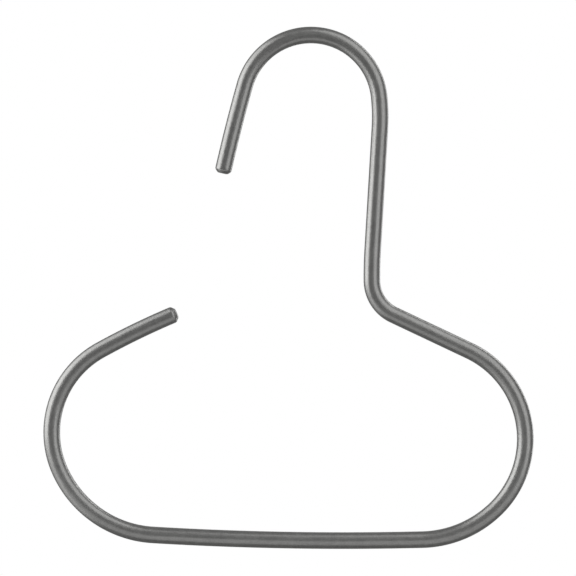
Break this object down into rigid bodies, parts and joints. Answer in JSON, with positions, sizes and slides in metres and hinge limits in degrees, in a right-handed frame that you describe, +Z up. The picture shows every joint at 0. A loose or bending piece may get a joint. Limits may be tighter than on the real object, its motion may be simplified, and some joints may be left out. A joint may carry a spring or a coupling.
{
  "type": "hat hanger hook",
  "caption": "Round steel bar bent in one plane into an open hook for a rail, with an open rounded loop below it to hang a hat on.",
  "frame": {"origin": "the underside of the hook's crown, in the bar's middle plane, where it rests on the rail", "axes": "+Z up, along the shank, away from the loop; the bar is bent in the XZ plane, with the hook's nose and the free arm towards -X; +Y across the bar, along the rail"},
  "size_m": [0.1765, 0.006, 0.188],
  "materials": {
    "bar": "satin"
  },
  "bodies": {
    "root": {"bent_bar": "bar"}
  },
  "joints": []
}
